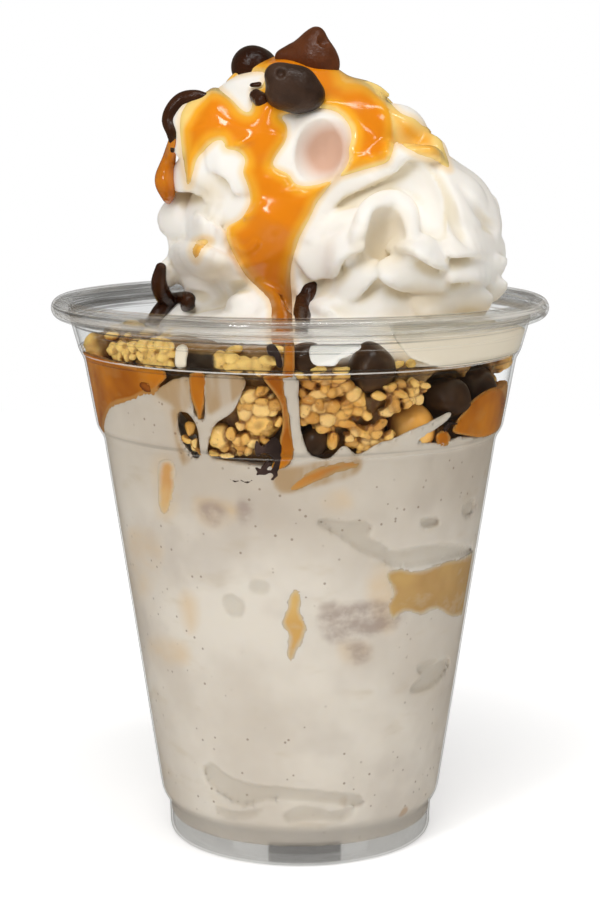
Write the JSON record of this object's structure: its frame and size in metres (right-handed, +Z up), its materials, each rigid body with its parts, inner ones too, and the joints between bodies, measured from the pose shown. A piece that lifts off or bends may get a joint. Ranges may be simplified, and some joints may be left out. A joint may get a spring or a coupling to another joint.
{
  "type": "yogurt parfait",
  "caption": "Tall clear plastic cup of layered yogurt, caramel and granola with coated candies, topped by ruffled whipped cream, caramel sauce and chocolate drops",
  "frame": {"origin": "middle of the cup's foot, on the surface it stands on", "axes": "+Z up; -Y faces the viewer of the picture; +X is the side of the ruffled rosette"},
  "size_m": [0.098, 0.098, 0.1607],
  "materials": {
    "cup_plastic": "clear, thin and glossy",
    "yogurt": "moist, soft gloss",
    "caramel": "glossy, slightly see-through",
    "granola": "rough, baked, with a sugar glaze",
    "dark_coating": "polished dark chocolate coating",
    "caramel_coating": "satin caramel coating",
    "whipped_cream": "soft satin",
    "chocolate": "satin dark chocolate"
  },
  "bodies": {
    "root": {"cup": "cup_plastic", "yogurt": "yogurt", "caramel_layer": "caramel", "caramel_pocket_right": "caramel", "caramel_pocket_front": "caramel", "caramel_streak_left": "caramel", "caramel_pocket_back": "caramel", "granola": "granola", "candy_dark_front_right": "dark_coating", "candy_dark_upper_front": "dark_coating", "candy_dark_right": "dark_coating", "candy_dark_middle": "dark_coating", "candy_dark_low_front": "dark_coating", "candy_dark_back": "dark_coating", "candy_dark_left": "dark_coating", "candy_caramel_right": "caramel_coating", "candy_caramel_back": "caramel_coating", "whipped_cream": "whipped_cream", "choc_drop_top": "chocolate", "choc_drop_front": "chocolate", "choc_drop_back": "chocolate", "choc_drop_rear": "chocolate"}
  },
  "joints": []
}
